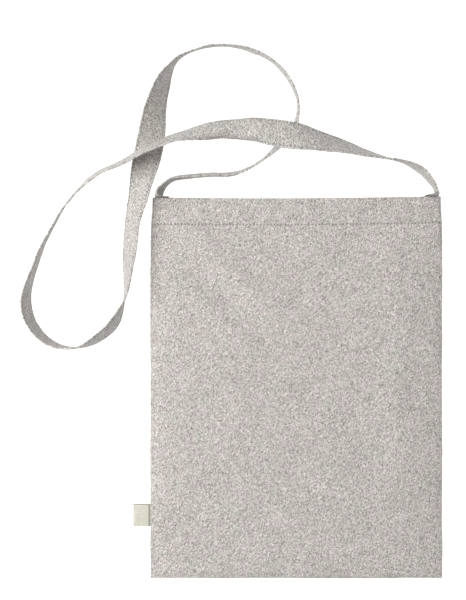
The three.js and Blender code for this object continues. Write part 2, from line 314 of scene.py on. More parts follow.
def closed_sheet(name, lines, places):
    """A closed piece of cloth from lines[v, u] in millimetres and places[v, u] on the flat cloth.

    The lines go round the cloth: up one face and down the other."""
    line_count, point_count = lines.shape[:2]
    index = np.arange(line_count * point_count).reshape(line_count, point_count)
    following = np.roll(index, -1, axis=0)
    around = np.stack((index[:, :-1], index[:, 1:], following[:, 1:], following[:, :-1]), axis=-1)
    near = np.arange(line_count // 2 - 1)
    far = line_count - 1 - near
    first, last = index[:, 0], index[:, -1]
    first_end = np.stack((first[near], first[near + 1], first[far - 1], first[far]), axis=-1)
    last_end = np.stack((last[far], last[far - 1], last[near + 1], last[near]), axis=-1)
    faces = np.concatenate((around.reshape(-1, 4), first_end, last_end))
    points = lines.reshape(-1, 3) * MM
    piece = add_mesh(name, points.tolist(), outward(points, faces).tolist())
    corner_points = np.empty(len(piece.data.loops), dtype=np.int32)
    piece.data.loops.foreach_get("vertex_index", corner_points)
    cloth_map = piece.data.uv_layers.new(name=CLOTH_MAP)
    cloth_map.data.foreach_set("uv", (places.reshape(-1, 2)[corner_points] * MM).ravel())
    smooth_shading(piece, CLOTH_SMOOTH)
    return piece


print("map of the flat cloth:", CLOTH_MAP)

# %% [markdown]
# ## The two panels
#
# A panel's columns run round the left edge, across the middle and round the right edge, and its
# rows from the bottom seam to the mouth. The rows crowd together where the hem is stitched, so
# that the dent has points to be made of. The front and the back share one function and differ
# only in how a point's height is found.

# %% Grid of a panel
ROLL_STEPS = 11
ROLL_TURNS = np.radians(np.linspace(0, 90, ROLL_STEPS))
COLUMN_WIDTH = 2.5
ROW_HEIGHT = 2.6
STITCH_BAND = 3
STITCH_BAND_ROWS = 9
BELOW_BAND = 4
ABOVE_BAND = 5
HEM_ROW_HEIGHT = 2
MOUTH_ANGLES = (22.5, 67.5, 112.5, 157.5)
LABEL_LOW, LABEL_HIGH = -143, -120
LABEL_THICKNESS = 1.2


def panel_columns():
    """side, turn and share across the flat middle for every column."""
    middle_count = round(2 * HALF_WIDTH / COLUMN_WIDTH)
    shares = np.arange(1, middle_count) / middle_count
    side = np.concatenate((-np.ones(ROLL_STEPS), np.zeros(len(shares)), np.ones(ROLL_STEPS)))
    turn = np.concatenate((ROLL_TURNS, np.full(len(shares), np.pi / 2), ROLL_TURNS[::-1]))
    share = np.concatenate((np.zeros(ROLL_STEPS), shares, np.ones(ROLL_STEPS)))
    return side, turn, share


def panel_rows():
    """turn and height for every row, from the bottom seam to just below the mouth's edge."""
    rolled = BOTTOM_SEAM + BOTTOM_ROLL * (1 - np.cos(ROLL_TURNS))
    line = MOUTH - STITCH_LINE
    body = np.arange(BOTTOM_SEAM + BOTTOM_ROLL + ROW_HEIGHT, line - BELOW_BAND, ROW_HEIGHT)
    stitched = line + np.linspace(-STITCH_BAND, STITCH_BAND, STITCH_BAND_ROWS)
    hem = np.arange(line + ABOVE_BAND, MOUTH - HEM_WALL / 2, HEM_ROW_HEIGHT)
    heights = np.concatenate((rolled, body, stitched, hem, [MOUTH - HEM_WALL / 2]))
    row_turns = np.concatenate((ROLL_TURNS, np.full(len(heights) - ROLL_STEPS, np.pi / 2)))
    return row_turns, heights


print("columns:", len(panel_columns()[0]), "rows:", len(panel_rows()[0]))

# %% Points of a panel
SEAM_TUCK = 0.7
TUCK_POWER = 6
LABEL_EASE = (3, 9)
BACK_DENT = 0.7


def seam_half_gap(x, y):
    """Half the opening of the seam, wider on the left where the label passes through."""
    from_label = np.maximum(LABEL_LOW - y, y - LABEL_HIGH)
    opened = (1 - smooth_step(from_label, *LABEL_EASE)) * (x < 0)
    return (PIECE_GAP + opened * (LABEL_THICKNESS + PIECE_GAP)) / 2


def panel_points(row_turn, height, depth, height_at):
    """Points of one line or many, depth below the panel's outer face."""
    side, turn, share = panel_columns()
    rolled = BOTTOM_SEAM + depth + (BOTTOM_ROLL - depth) * (1 - np.cos(row_turn))
    y = np.where(row_turn < np.pi / 2, rolled, height)[:, None]
    depth = depth[:, None]
    row_turn = row_turn[:, None]
    section = section_at(y)
    reach = depth + (section["roll"] - depth) * (1 - np.cos(turn))
    flat_left, flat_right = section["roll"] - section["left"], section["right"] - section["roll"]
    x = flat_left * (1 - share) + flat_right * share
    x = np.where(side < 0, reach - section["left"], x)
    x = np.where(side > 0, section["right"] - reach, x)
    y = y + 0 * x
    rise = np.sin(turn) * np.sin(row_turn)
    z, relief = height_at(section, x, y, depth, rise)
    tuck = SEAM_TUCK * (depth == 0)
    x_push = side * (np.cos(turn) * relief - tuck * (1 - np.sin(turn)) ** TUCK_POWER)
    y_push = tuck * (1 - np.sin(row_turn)) ** TUCK_POWER - np.cos(row_turn) * relief
    up_bag = (y - BOTTOM_SEAM) / (MOUTH - BOTTOM_SEAM)
    off_centre = x / HALF_WIDTH
    mouth_shift = MOUTH_TILT * off_centre - MOUTH_SAG * (1 - off_centre**2)
    return np.stack((x + x_push, y + y_push + mouth_shift * up_bag, z), axis=-1)


def front_height(section, x, y, depth, rise):
    """Height of the front panel's points, and how far its seam puckers push outwards."""
    seam = section["seam"] + seam_half_gap(x, y)
    relief = fold_height(x, y, SOFT_FOLDS + SEAM_CREASES) + swell_relief(x, y)
    relief = relief + (depth == 0) * (hem_relief(x, y) + fold_height(x, y, CORNER_CREASES))
    relief = relief + edge_fall(x, y, section, HEM_FALL * (depth == 0))
    pucker = seam_pucker(x, y, section)
    return seam + (section["crown"] - seam - depth + relief + pucker) * rise, pucker


def back_height(section, x, y, depth, rise):
    """The same for the back panel, which lies flat but for the dent of its stitches."""
    seam = section["seam"] - seam_half_gap(x, y)
    from_line = MOUTH - STITCH_LINE - y
    dent = BACK_DENT * np.exp(-((from_line / STITCH_WIDTH) ** 2)) * (depth == 0)
    return seam - (seam - depth - dent) * rise, seam_pucker(x, y, section)


print("seam opening at the label:", 2 * float(seam_half_gap(np.array(-150.0), np.array(-130.0))))

# %% Make the panels


def flat_places(outer):
    """Place of each point on the flat cloth: across from the middle, and down from the mouth."""
    across_steps = np.linalg.norm(np.diff(outer, axis=1), axis=-1)
    across = np.pad(np.cumsum(across_steps, axis=1), ((0, 0), (1, 0)))
    across = across - across[:, -1:] / 2
    up_steps = np.linalg.norm(np.diff(outer, axis=0), axis=-1)
    up = np.pad(np.cumsum(up_steps, axis=0), ((1, 0), (0, 0)))
    down = up[-1:] - up + HEM_WALL / 2
    return np.stack((across, down), axis=-1)


def make_panel(name, height_at):
    """One panel: up its outer face, round the mouth's edge and down its inner face."""
    row_turn, height = panel_rows()
    wall = np.where(height >= MOUTH - HEM_DEPTH, HEM_WALL, CLOTH)
    edge = np.radians(MOUTH_ANGLES)
    edge_height = MOUTH - HEM_WALL / 2 * (1 - np.sin(edge))
    edge_depth = HEM_WALL / 2 * (1 - np.cos(edge))
    upright = np.full(len(edge), np.pi / 2)
    outer = panel_points(row_turn, height, 0 * height, height_at)
    rim = panel_points(upright, edge_height, edge_depth, height_at)
    inner = panel_points(row_turn, height, wall, height_at)[::-1]
    places = flat_places(outer)
    rim_places = np.repeat(places[-1:], len(edge), axis=0)
    rim_places[..., 1] = HEM_WALL / 2 * np.cos(edge)[:, None]
    lines = np.concatenate((outer, rim, inner))
    return closed_sheet(name, lines, np.concatenate((places, rim_places, places[::-1])))


front_panel = make_panel("front_cloth", front_height)
back_panel = make_panel("back_cloth", back_height)
for panel in (front_panel, back_panel):
    print(panel.name, len(panel.data.polygons), "faces")

# %% [markdown]
# ## The strap
#
# The strap is a strip of the same cotton, folded in on itself and sewn along both edges. It
# mostly stands on its edge, tips over flat where it crosses itself, and is folded in half
# where its ends are sewn in. It could be a curve with a flat profile, but a curve can't fold
# its profile, so it is a sheet laid along a route.
#
# Each row of the route has a place. Its lean tips the upper edge to the left of the way along,
# and past 90 the other edge is the upper one. Its fold is half the angle of the lengthwise fold,
# negative where the strap folds the other way, its lift is the lowest edge's height, and its cup
# is the angle that the strip curls through. The solid has no cup and tips less there, so the
# cupped rows lie up to 12 millimetres off it. It also stands up later at the corners, which puts
# the rows there up to about 4 millimetres off.

# %% Route of the strap
STRAP_WIDTH = 29
STRAP_THICKNESS = 1.8
STRAP_FOLD_GAP = 0.36
PLAIN_ENDING = (0, 0.2, 0)

# x, y, lean, fold, lift, cup. What a row leaves out is plain: no fold, on the table, no cup.
LEFT_CORNER = (
    (-145, 171, 0, 90, 2.5),
    (-145, 186, 0, 90, 2.5),
    (-145, 196.6, 0, 90, 2.5),
    (-145, 197.5, 5, 58, 2),
    (-144.9, 198.4, 10, 30, 1.5),
    (-144.4, 199.9, 12, 18, 1),
    (-142.9, 202.3, 11, 11, 0.5),
    (-140.9, 204.8, 9, 8, 0.3),
    (-138, 208, 6, 7),
    (-135, 211, 4, 7),
    (-131, 214, 2, 7),
    (-125, 216.8, 0, 8),
)
LOWER_RUN = (
    (-115, 218.6, -1, 10),
    (-90, 220, -1, 10),
    (-65.5, 221.2, -1, 9),
    (-47.6, 227.8, -2, 6),
    (-32.8, 237.2, -5, 3),
    (-19.8, 248.3, -13),
    (-10, 258.5, -14),
    (-3, 267.5, -9),
)
TOP_LOOP = (
    (0.3, 278, -4),
    (1, 296, -1),
    (-5.5, 313.5, 0),
    (-18.3, 330, 1),
    (-36.3, 343, 1),
    (-58.3, 350.3, 2),
    (-83.5, 352.3, 6),
    (-105.5, 347.5, 6),
    (-121.5, 339.5, 2),
)
FLAT_RUN = (
    (-130, 328.5, -8),
    (-137.3, 314, -28),
    (-144.7, 289.5, -47),
    (-150, 258.5, -76),
    (-159.6, 214, -122),
    (-168, 173, -144),
    (-172.5, 132, -153),
    (-176.5, 94, -173),
)
LEFT_LOOP = (
    (-188, 66.5, -195),
    (-206, 50.5, -194),
    (-225, 42, -183),
    (-243, 42.6, -175),
    (-261.2, 52.7, -169),
    (-274.6, 70.2, -166),
    (-278.2, 90.5, -168),
    (-270.6, 121, -176),
    (-258, 152, -180),
    (-238.6, 186.4, -185),
)
UPPER_RUN = (
    (-212, 215.2, -190, 0, 0.6),
    (-181.6, 230.9, -193, 0, 3),
    (-150.6, 246.6, -198, 0, 6),
    (-120, 258.2, -202, 0, 8.5),
    (-84, 268.4, -236, 0, 12, -155),
    (-48, 264.2, -278, 0, 20, -140),
    (-14, 259.6, -266, 0, 31, -45),
    (19, 253.8, -231, 0, 21.5, -8),
    (55, 245.4, -206, 0, 8),
    (91, 236.6, -189, 0, 2),
    (112, 231.8, -181),
)
RIGHT_CORNER = (
    (127, 225, -173),
    (137.6, 214.4, -176, -2),
    (142.8, 207.6, -179, -6),
    (145, 203.2, -180, -9, 0.4),
    (145.7, 200.9, -180, -16, 0.8),
    (145.8, 199.6, -180, -28, 1.4),
    (145.8, 198.8, -180, -56, 1.9),
    (145.8, 198, -180, -90, 2.5),
    (145.6, 186, -180, -90, 2.5),
    (145.6, 171, -180, -90, 2.5),
)


def whole_row(row):
    """The row, with as much of the plain ending as it leaves out."""
    return (*row, *PLAIN_ENDING[len(row) - 3 :])


every_row = LEFT_CORNER + LOWER_RUN + TOP_LOOP + FLAT_RUN + LEFT_LOOP + UPPER_RUN + RIGHT_CORNER
STRAP_ROUTE = np.array([whole_row(row) for row in every_row])
print("route rows:", len(STRAP_ROUTE))

# %% [markdown]
# ## From rows to a smooth strip
#
# A Catmull-Rom curve passes through every row of the route. Its centripetal form, which lets a
# close pair of rows bend more sharply than a distant pair, keeps the corners at the mouth from
# overshooting. The lean, the fold and the rest follow the plain form of the same curve.

# %% Smooth rows
STRAP_STEP = 2.6


def smooth_rows(rows, place, centripetal):
    """The rows' values at places counted in rows, on a curve through all the rows."""
    before, after = 2 * rows[0] - rows[1], 2 * rows[-1] - rows[-2]
    padded = np.vstack((before, rows, after))
    start = np.clip(np.floor(place).astype(int), 0, len(rows) - 2)
    p0, p1, p2, p3 = (padded[start + step] for step in range(4))
    gaps = np.ones((3, len(place), 1))
    if centripetal:
        steps = (p1 - p0, p2 - p1, p3 - p2)
        gaps = np.stack([np.sqrt(np.linalg.norm(step, axis=1))[:, None] for step in steps])
    g0, g1, g2 = gaps
    leave = g1 * ((p1 - p0) / g0 - (p2 - p0) / (g0 + g1) + (p2 - p1) / g1)
    arrive = g1 * ((p2 - p1) / g1 - (p3 - p1) / (g1 + g2) + (p3 - p2) / g2)
    t = (place - start)[:, None]
    bend = -3 * p1 + 3 * p2 - 2 * leave - arrive
    return p1 + leave * t + bend * t**2 + (2 * p1 - 2 * p2 + leave + arrive) * t**3


def strap_stations():
    """Places along the route, counted in rows and about a step apart."""
    stations = []
    gaps = np.linalg.norm(np.diff(STRAP_ROUTE[:, :2], axis=0), axis=1)
    for row, gap in enumerate(gaps):
        count = max(round(gap / STRAP_STEP), 2)
        stations.append(row + np.arange(count) / count)
    return np.concatenate((*stations, [len(STRAP_ROUTE) - 1]))


def route_at(stations):
    return smooth_rows(STRAP_ROUTE[:, :2], stations, True)


STATIONS = strap_stations()
MIDDLE_LINE = route_at(STATIONS)
ALONG = np.pad(np.cumsum(np.linalg.norm(np.diff(MIDDLE_LINE, axis=0), axis=1)), (1, 0))
print("route length in millimetres:", round(float(ALONG[-1])))

# %% [markdown]
# ## The strip's cross-section
#
# Across the strip the two faces lie a strap's thickness apart, dip where the edge stitches
# draw the layers together, and close in a round at each edge. How the middle of the section
# turns gives its fold and its cup: the turn is added up from the middle line outwards, which
# bends the strip without stretching it.

# %% Section of the strap
EDGE_STITCH = 2.6
STITCH_DENT = 0.3
DENT_WIDTH = 0.7
BESIDE_STITCH = (-1.2, -0.6, 0, 0.5, 1.0)
EDGE_TURNS = (0, 30, 60, 80)
ACROSS_COUNT = 15
ACROSS_CLEAR = 2
FOLD_BEND = (STRAP_THICKNESS + STRAP_FOLD_GAP) * np.pi / 4


def strap_profile():
    """Places across the strip and half the thickness there."""
    half, radius = STRAP_WIDTH / 2, STRAP_THICKNESS / 2
    rounding = np.radians(EDGE_TURNS)
    edge_places = half - radius + radius * np.sin(rounding)
    line = half - EDGE_STITCH
    beside_line = line + np.array(BESIDE_STITCH)
    middle = np.linspace(-line + ACROSS_CLEAR, line - ACROSS_CLEAR, ACROSS_COUNT)
    crease = FOLD_BEND * np.array((-1, -0.5, 0, 0.5, 1))
    upper = np.concatenate((beside_line, edge_places))
    places = np.unique(np.concatenate((-upper, middle, crease, upper)).round(4))
    rounded = np.clip((np.abs(places) - (half - radius)) / radius, 0, 1)
    thickness = radius * np.sqrt(1 - rounded**2)
    dent = STITCH_DENT * np.exp(-(((np.abs(places) - line) / DENT_WIDTH) ** 2))
    return places, thickness - dent


def strap_middle(places, fold, cup):
    """Sideways and upward place of the section's middle, and its turn there, for every station."""
    folded = np.radians(fold)[:, None] * np.clip(places / FOLD_BEND, -1, 1)
    turn = folded + np.radians(cup)[:, None] * places / STRAP_WIDTH
    steps = np.diff(places)
    between = (turn[:, 1:] + turn[:, :-1]) / 2
    sideways = np.pad(np.cumsum(-np.sin(between) * steps, axis=1), ((0, 0), (1, 0)))
    upward = np.pad(np.cumsum(np.cos(between) * steps, axis=1), ((0, 0), (1, 0)))
    centre = len(places) // 2
    return sideways - sideways[:, [centre]], upward - upward[:, [centre]], turn


PLACES, HALF_THICKNESS = strap_profile()
print("points across a face:", len(PLACES), "middle:", PLACES[len(PLACES) // 2])

# %% [markdown]
# ## Laying the strip along its route
#
# Every section is leaned over, set down so that its lowest point has the lift of its row, and
# turned to the way the route runs. Slight swells along the strip keep its faces from looking
# like sheet metal.

# %% Strap surface
NEARBY = 1e-4
SWELL_SLANT = 0.6
STRAP_SWELLS = (0.3, 26, 60)
STRAP_RIPPLES = (0.1, 9, 20)
FREE_FOLD = (9, 20)


def strap_face(stations, places, offset):
    """X, Y and leaned height of points at an offset to the left of the middle, and their lift."""
    route, ahead, behind = (route_at(stations + shift) for shift in (0, NEARBY, -NEARBY))
    heading = (ahead - behind) / np.linalg.norm(ahead - behind, axis=1)[:, None]
    lean, fold, lift, cup = smooth_rows(STRAP_ROUTE[:, 2:], stations, False).T
    fold = np.clip(fold, -90, 90)
    sideways, upward, turn = strap_middle(places, fold, cup)
    along = np.interp(stations, STATIONS, ALONG)[:, None]
    free = 1 - smooth_step(np.abs(fold), *FREE_FOLD)[:, None]
    slow = ripple(along, SWELL_SLANT * places, 21, STRAP_SWELLS)
    quick = ripple(along, places, 22, STRAP_RIPPLES)
    swell = free * (slow + quick)
    sideways = sideways + (offset + swell) * np.cos(turn)
    upward = upward + (offset + swell) * np.sin(turn)
    tilt = np.radians(lean)[:, None]
    across = sideways * np.cos(tilt) + upward * np.sin(tilt)
    height = upward * np.cos(tilt) - sideways * np.sin(tilt)
    x = route[:, :1] - heading[:, 1:] * across
    y = route[:, 1:] + heading[:, :1] * across
    return x, y, height, lift[:, None]


def make_strap(name):
    """The strap, and the points of its two faces for the stitches."""
    left = strap_face(STATIONS, PLACES, HALF_THICKNESS)
    right = strap_face(STATIONS, PLACES, -HALF_THICKNESS)
    lowest = np.minimum(left[2].min(axis=1), right[2].min(axis=1))[:, None]
    faces = [np.stack((x, y, height - lowest + lift), axis=-1) for x, y, height, lift in (left, right)]
    lines = np.concatenate((faces[0].swapaxes(0, 1), faces[1].swapaxes(0, 1)[::-1]))
    flat = np.stack(np.broadcast_arrays(ALONG[None, :], PLACES[:, None]), axis=-1)
    return closed_sheet(name, lines, np.concatenate((flat, flat[::-1]))), faces


strap, strap_faces = make_strap("strap_cloth")
print(strap.name, len(strap.data.polygons), "faces")

# %% [markdown]
# ## The label
#
# The label is a short length of woven tape, folded in half with its cut ends in the seam. It is
# modelled as it is made: a narrow strip of tape is laid down, and its far edge is extruded
# along the upper layer, round the fold and back under. Solidify then gives the tape its
# thickness and a small bevel takes the sharpness off its edges.

# %% Label
LABEL_LENGTH = 17.5
LABEL_ROOT = 2
LABEL_DROOP = 1.8
LABEL_STATIONS = 9
LABEL_FOLD_TURNS = (45, 90, 135)
LABEL_SMOOTH = 40
TAPE = 0.5
TAPE_BEVEL = 0.12
SAME_PLACE = 1e-6


def label_profile():
    """The tape's middle line, from the seam round the fold and back, as x and z in metres."""
    section = section_at(np.array([(LABEL_LOW + LABEL_HIGH) / 2]))
    seam_x, seam_z = -float(section["left"][0]), float(section["seam"][0])
    radius = (LABEL_THICKNESS - TAPE) / 2
    fold_x = seam_x - LABEL_LENGTH + LABEL_THICKNESS / 2
    stations = np.linspace(seam_x + LABEL_ROOT, fold_x, LABEL_STATIONS)
    droop = -LABEL_DROOP * (np.minimum(stations - seam_x, 0) / LABEL_LENGTH) ** 2
    turns = np.radians(LABEL_FOLD_TURNS)
    upper = np.stack((stations, seam_z + droop + radius), axis=1)
    fold_z = seam_z + droop[-1] + radius * np.cos(turns)
    fold = np.stack((fold_x - radius * np.sin(turns), fold_z), axis=1)
    lower = np.stack((stations, seam_z + droop - radius), axis=1)[::-1]
    return np.concatenate((upper, fold, lower)) * MM


def apply_modifier(piece, kind, **settings):
    modifier = piece.modifiers.new(kind.lower(), kind)
    for setting, value in settings.items():
        setattr(modifier, setting, value)
    bpy.ops.object.modifier_apply(modifier=modifier.name)


def make_label(name):
    """The label, extruded along its profile from a first narrow strip of tape."""
    profile = label_profile()
    (x0, z0), (x1, z1) = profile[:2]
    middle_y = (LABEL_LOW + LABEL_HIGH) / 2 * MM
    bpy.ops.object.select_all(action="DESELECT")
    bpy.ops.mesh.primitive_plane_add(size=1, location=((x0 + x1) / 2, middle_y, (z0 + z1) / 2))
    label = bpy.context.object
    label.name = name
    label.scale = (x0 - x1, (LABEL_HIGH - LABEL_LOW) * MM, 1)
    bpy.ops.object.transform_apply(location=True, rotation=True, scale=True)
    for vertex in label.data.vertices:
        vertex.select = bool(abs(vertex.co.x - x1) < SAME_PLACE)
    for edge in label.data.edges:
        edge.select = all(label.data.vertices[end].select for end in edge.vertices)
    for polygon in label.data.polygons:
        polygon.select = False
    bpy.ops.object.mode_set(mode="EDIT")
    bpy.ops.mesh.select_mode(type="EDGE")
    for (from_x, from_z), (to_x, to_z) in zip(profile[1:], profile[2:]):
        step = (to_x - from_x, 0, to_z - from_z)
        bpy.ops.mesh.extrude_region_move(TRANSFORM_OT_translate={"value": step})
    bpy.ops.object.mode_set(mode="OBJECT")
    apply_modifier(label, "SOLIDIFY", thickness=TAPE * MM, offset=0)
    apply_modifier(label, "BEVEL", width=TAPE_BEVEL * MM, segments=2, limit_method="ANGLE")
    smooth_shading(label, LABEL_SMOOTH)
    return label


label = make_label("label_tape_fold")
print(label.name, len(label.data.polygons), "faces")

# %% [markdown]
# ## One stitch
#
# A lockstitch shows as a short length of thread that dips into the cloth at both ends. One is
# modelled from a six-sided cylinder: it is laid on its side, cut across a few times, and its
# ends are pushed down. The rows copy that one shape many times, so it has few faces.

# %% Stitch
THREAD = 0.26
THREAD_SIDES = 6
STITCH_CUTS = 4
STITCH_SINK = 3
SINK_POWER = 4
HEM_PITCH = 3.55
HEM_STITCH_SHARE = 0.8
STRAP_PITCH = 3.8
STRAP_STITCH_SHARE = 0.84


def model_stitch(length):
    """Points and faces of one stitch along X, its ends below the cloth."""
    bpy.ops.object.select_all(action="DESELECT")
    bpy.ops.mesh.primitive_cylinder_add(
        vertices=THREAD_SIDES, radius=THREAD * MM, depth=length * MM, rotation=(0, np.pi / 2, 0)
    )
    stitch = bpy.context.object
    bpy.ops.object.transform_apply(location=True, rotation=True, scale=True)
    for polygon in stitch.data.polygons:
        polygon.select = False
    for edge in stitch.data.edges:
        ends = [stitch.data.vertices[end].co for end in edge.vertices]
        edge.select = abs(ends[0].x - ends[1].x) > length * MM / 2
    bpy.context.tool_settings.mesh_select_mode = (False, True, False)
    bpy.ops.object.mode_set(mode="EDIT")
    bpy.ops.mesh.subdivide(number_cuts=STITCH_CUTS)
    bpy.ops.object.mode_set(mode="OBJECT")
    points = np.array([vertex.co for vertex in stitch.data.vertices])
    points[:, 2] -= STITCH_SINK * THREAD * MM * (2 * points[:, 0] / (length * MM)) ** SINK_POWER
    faces = [tuple(polygon.vertices) for polygon in stitch.data.polygons]
    bpy.data.objects.remove(stitch)
    return points, faces


hem_stitch = model_stitch(HEM_STITCH_SHARE * HEM_PITCH)
strap_stitch = model_stitch(STRAP_STITCH_SHARE * STRAP_PITCH)
print("faces of a stitch:", len(hem_stitch[1]))

# %% [markdown]
# ## Rows of stitches
#
# A stitch row needs a place, the way along and the way out of the cloth for each stitch. All
# come from the cloth itself: neighbouring points on the surface give the way along, and points
# to either side of them give the way out. The stitches of a panel or of the strap are one mesh.

# %% Stitch rows
STITCH_PROUD = 0.7
STITCH_SMOOTH = 60


def unit(vectors):
    return vectors / np.linalg.norm(vectors, axis=-1, keepdims=True)


def stitch_rows(name, stitch, places, along, outwards):
    """One mesh of stitches at places in millimetres, with the ways along and out of the cloth."""
    points, faces = stitch
    across = unit(np.cross(outwards, along))
    out = np.cross(along, across)
    moved = (
        points[None, :, 0, None] * along[:, None]
        + points[None, :, 1, None] * across[:, None]
        + points[None, :, 2, None] * out[:, None]
        + places[:, None] * MM
    )
    every = [
        tuple(corner + number * len(points) for corner in face)
        for number in range(len(places))
        for face in faces
    ]
    piece = add_mesh(name, moved.reshape(-1, 3).tolist(), every)
    smooth_shading(piece, STITCH_SMOOTH)
    return piece


print("points of a stitch:", len(hem_stitch[0]))

# %% Hem stitches
HEM_NEAR = 0.4
HEM_WAY = 0.5
HEM_BARE = 6


def hem_row(name, height_at, direction):
    """The row of stitches that holds a panel's hem, on the outer face."""
    row_turn = np.full(3, np.pi / 2)
    height = MOUTH - STITCH_LINE + np.array((-HEM_NEAR, 0, HEM_NEAR))
    lines = panel_points(row_turn, height, np.zeros(3), height_at)
    x = lines[1, :, 0]
    count = int((x[-1] - x[0] - HEM_BARE) / HEM_PITCH)
    stations = (np.arange(count) - (count - 1) / 2) * HEM_PITCH

    def at(line, shift):
        moved = [np.interp(stations + shift, x, lines[line, :, axis]) for axis in range(3)]
        return np.stack(moved, axis=1)

    along = unit(at(1, HEM_WAY) - at(1, -HEM_WAY))
    upwards = at(2, 0) - at(0, 0)
    outwards = unit(np.cross(along, upwards)) * direction
    places = at(1, 0) + outwards * THREAD * STITCH_PROUD
    return stitch_rows(name, hem_stitch, places, along, outwards)


front_hem_stitches = hem_row("front_hem_stitches", front_height, 1)
back_hem_stitches = hem_row("back_hem_stitches", back_height, -1)
print("hem stitch faces:", len(front_hem_stitches.data.polygons))

# %% Strap stitches
STRAP_BARE = 15
STRAP_WAY = 0.6
BESIDE_COLUMNS = 2


def points_along(line, distance):
    """Points at distances along one lengthwise line of the strap."""
    return np.stack([np.interp(distance, ALONG, line[:, axis]) for axis in range(3)], axis=1)


def strap_rows(name):
    """The rows of stitches along both edges of the strap, on both faces."""
    count = int((ALONG[-1] - 2 * STRAP_BARE) / STRAP_PITCH)
    distance = STRAP_BARE + (np.arange(count) + 0.5) * STRAP_PITCH
    places, along, outwards = [], [], []
    for surface, direction in zip(strap_faces, (1, -1)):
        for edge in (-1, 1):
            across = edge * (STRAP_WIDTH / 2 - EDGE_STITCH)
            column = int(np.argmin(np.abs(PLACES - across)))
            line = surface[:, column]
            above = points_along(surface[:, column + BESIDE_COLUMNS], distance)
            below = points_along(surface[:, column - BESIDE_COLUMNS], distance)
            ahead = points_along(line, distance + STRAP_WAY)
            behind = points_along(line, distance - STRAP_WAY)
            way = unit(ahead - behind)
            out = unit(np.cross(way, above - below)) * -direction
            places.append(points_along(line, distance) + out * THREAD * STITCH_PROUD)
            along.append(way)
            outwards.append(out)
    return stitch_rows(
        name, strap_stitch, np.concatenate(places), np.concatenate(along), np.concatenate(outwards)
    )


strap_stitches = strap_rows("strap_stitches")
print("strap stitch faces:", len(strap_stitches.data.polygons))

# %% [markdown]
# ## Wires for the finishes
#
# A finish is a small program made of nodes. Written node by node it is hard to read, so one
# class wraps a socket: sums and products of wrapped sockets add Math nodes by themselves, and
# one method adds any other node. Each operator also has the form for a number on its left, so
# that one minus a mask works.

# %% Wire
SPECULAR = 0.2


class Wire:
    """A socket of a material that can be used in sums."""

    def __init__(self, socket):
        self.socket = socket

    def node(self, kind, settings, inputs=None, output=0):
        """Adds a node with its settings and its inputs, and gives one of its outputs."""
        tree = self.socket.id_data
        added = tree.nodes.new("ShaderNode" + kind)
        for name, value in settings.items():
            if name == "stops":
                while len(added.color_ramp.elements) < len(value):
                    added.color_ramp.elements.new(1)
                for element, (position, colour) in zip(added.color_ramp.elements, value):
                    element.position = position
                    element.color = (*colour, 1)
            else:
                setattr(added, name, value)
        for name, value in (inputs or {}).items():
            matching = [socket for socket in added.inputs if socket.name == name and socket.enabled]
            target = added.inputs[name] if isinstance(name, int) else matching[0]
            if isinstance(value, Wire):
                tree.links.new(value.socket, target)
            else:
                target.default_value = value
        outputs = [socket for socket in added.outputs if socket.enabled]
        return Wire(outputs[output])

    def math(self, operation, first, second=0.0):
        return self.node("Math", {"operation": operation}, {0: first, 1: second})

    def feeds(self, target):
        self.socket.id_data.links.new(self.socket, target)

    def __add__(self, other):
        return self.math("ADD", self, other)

    def __radd__(self, other):
        return self.math("ADD", other, self)

    def __sub__(self, other):
        return self.math("SUBTRACT", self, other)

    def __rsub__(self, other):
        return self.math("SUBTRACT", other, self)

    def __mul__(self, other):
        return self.math("MULTIPLY", self, other)

    def __rmul__(self, other):
        return self.math("MULTIPLY", other, self)

    def __truediv__(self, other):
        return self.math("DIVIDE", self, other)

    def __rtruediv__(self, other):
        return self.math("DIVIDE", other, self)

    def __pow__(self, other):
        return self.math("POWER", self, other)

    def __rpow__(self, other):
        return self.math("POWER", other, self)

    def floor(self):
        return self.math("FLOOR", self)


def mixed(start, share, first, second, blend="MIX"):
    """The first colour turned into the second by a share, or blended with it in another way."""
    settings = {"data_type": "RGBA", "blend_type": blend}
    return start.node("Mix", settings, {"Factor": share, "A": first, "B": second})


def add_bump(shader, start, height, bump):
    """Bumps the shader by a height. bump is a strength and a distance in millimetres."""
    strength, distance = bump
    inputs = {"Strength": strength, "Distance": distance * MM, "Height": height}
    start.node("Bump", {}, inputs).feeds(shader.inputs["Normal"])


def new_finish(name, roughness):
    """A material, its shader node and a wire to start its nodes from."""
    finish = bpy.data.materials.new(name)
    finish.use_nodes = True
    shader = finish.node_tree.nodes["Principled BSDF"]
    shader.inputs["Roughness"].default_value = roughness
    shader.inputs["Specular IOR Level"].default_value = SPECULAR
    return finish, shader, Wire(shader.outputs[0])


print("a wire can:", ", ".join(name for name in vars(Wire) if not name.startswith("_")))
